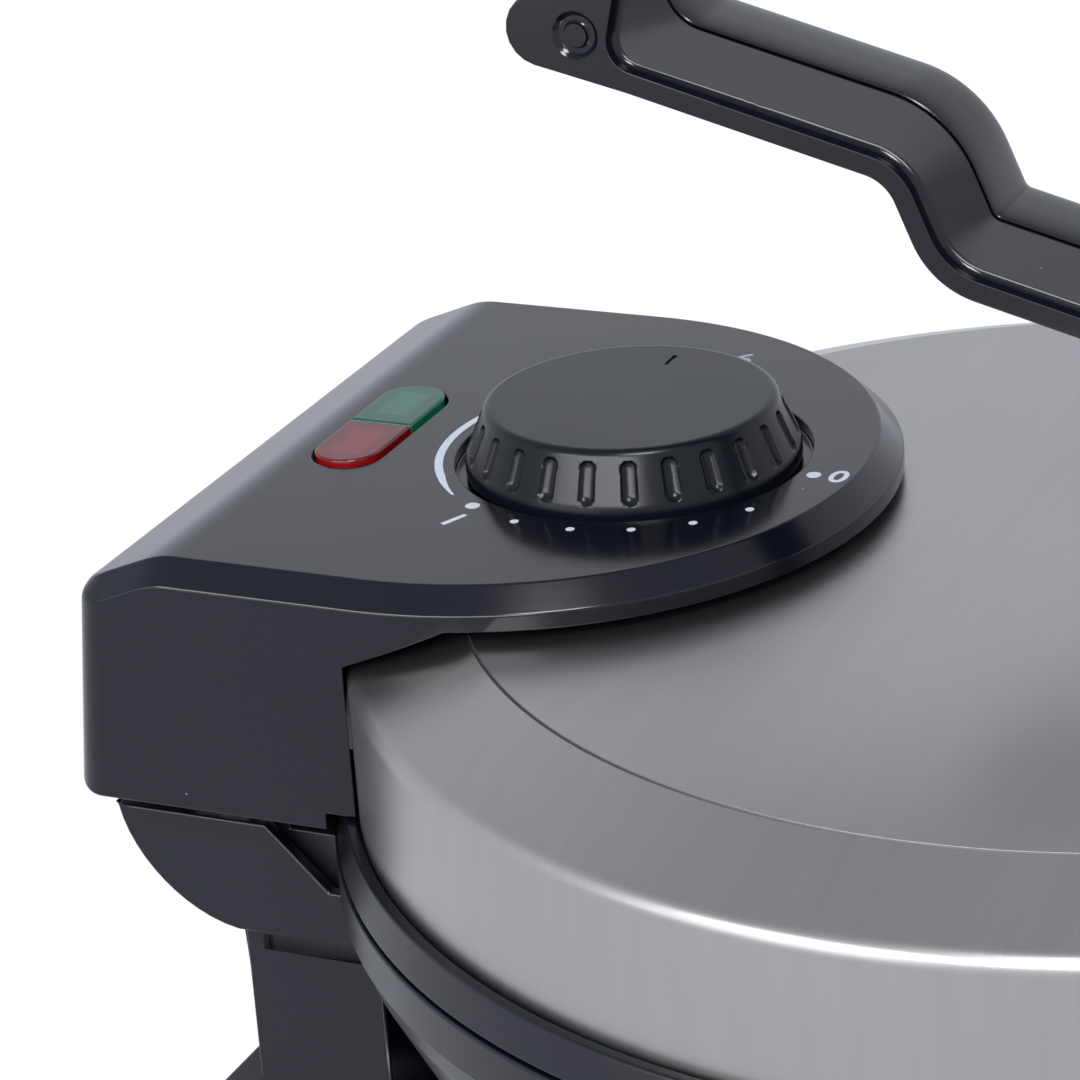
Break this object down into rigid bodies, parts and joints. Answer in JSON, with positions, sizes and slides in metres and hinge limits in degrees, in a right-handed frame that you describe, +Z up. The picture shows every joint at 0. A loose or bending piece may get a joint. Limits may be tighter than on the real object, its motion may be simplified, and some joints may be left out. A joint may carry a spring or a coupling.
{
  "type": "electric tortilla maker",
  "caption": "Round countertop press cooker: shallow black bowl on feet, hinged steel lid with a control housing and dial knob behind, and a long cranked press lever over the lid.",
  "frame": {"origin": "middle of the footprint, on the surface that the maker stands on", "axes": "+Z up, -Y towards the lever bracket at the front, +Y towards the hinge, +X to the right seen from the front"},
  "size_m": [0.2286, 0.2841, 0.1748],
  "materials": {
    "gloss_black": "moulded, semi-gloss",
    "satin_black": "moulded, satin",
    "dark_plastic": "moulded, matt",
    "brushed_steel": "brushed stainless steel",
    "bright_steel": "zinc plated",
    "cast_aluminium": "cast, bare",
    "nonstick": "non-stick coating on cast aluminium",
    "rubber": "matt",
    "lens_red": "translucent, gloss",
    "lens_green": "translucent, gloss",
    "lamp_glass": "clear",
    "ceramic": "glazed steatite"
  },
  "bodies": {
    "base": {"base_bowl": "satin_black", "bottom_cover": "dark_plastic", "front_foot_left": "satin_black", "front_foot_right": "satin_black", "front_pad_left": "rubber", "front_pad_right": "rubber", "rear_plinth": "dark_plastic", "rear_pad_left": "rubber", "rear_pad_right": "rubber", "pedestal": "satin_black", "cord_gland": "rubber", "hinge_bracket": "satin_black", "hinge_base": "cast_aluminium", "hinge_pin_left": "bright_steel", "hinge_pin_right": "bright_steel", "lower_plate": "nonstick", "lower_element": "cast_aluminium", "lower_shield": "bright_steel", "terminal_block": "ceramic", "catch_arm_left": "satin_black", "catch_arm_right": "satin_black", "catch_pin": "bright_steel"},
    "lid": {"lid_cover": "brushed_steel", "lid_ring": "satin_black", "control_housing": "gloss_black", "housing_floor": "dark_plastic", "hinge_arm_left": "cast_aluminium", "hinge_arm_right": "cast_aluminium", "upper_plate": "nonstick", "upper_element": "cast_aluminium", "upper_shield": "bright_steel", "floor_screw_1": "bright_steel", "floor_screw_2": "bright_steel", "floor_screw_3": "bright_steel", "floor_screw_4": "bright_steel", "cover_screw_1": "bright_steel", "cover_screw_2": "bright_steel", "cover_screw_3": "bright_steel", "lens_red": "lens_red", "lens_green": "lens_green", "lamp_holder": "dark_plastic", "neon_lamp_left": "lamp_glass", "neon_lamp_right": "lamp_glass", "thermostat_body": "bright_steel", "lever_bracket": "satin_black", "lever_pin": "bright_steel"},
    "lever": {"lever_tray": "gloss_black", "lever_grip": "gloss_black", "lever_screw_1": "bright_steel", "lever_screw_2": "bright_steel", "lever_toe": "bright_steel"},
    "knob": {"dial_knob": "satin_black", "thermostat_spindle": "bright_steel"}
  },
  "joints": [
    {"name": "lid_hinge", "type": "hinge", "parent": "base", "child": "lid", "pos_m": [0, 0.1182, 0.0562], "axis": [-1, 0, 0], "range_deg": [0, 95]},
    {"name": "lever_pivot", "type": "hinge", "parent": "lid", "child": "lever", "pos_m": [0, -0.1286, 0.071], "axis": [1, 0, 0], "range_deg": [-12, 90]},
    {"name": "knob_turn", "type": "hinge", "parent": "lid", "child": "knob", "pos_m": [0, 0.0744, 0.1], "axis": [0, 0, 1], "range_deg": [-3, 267]}
  ]
}
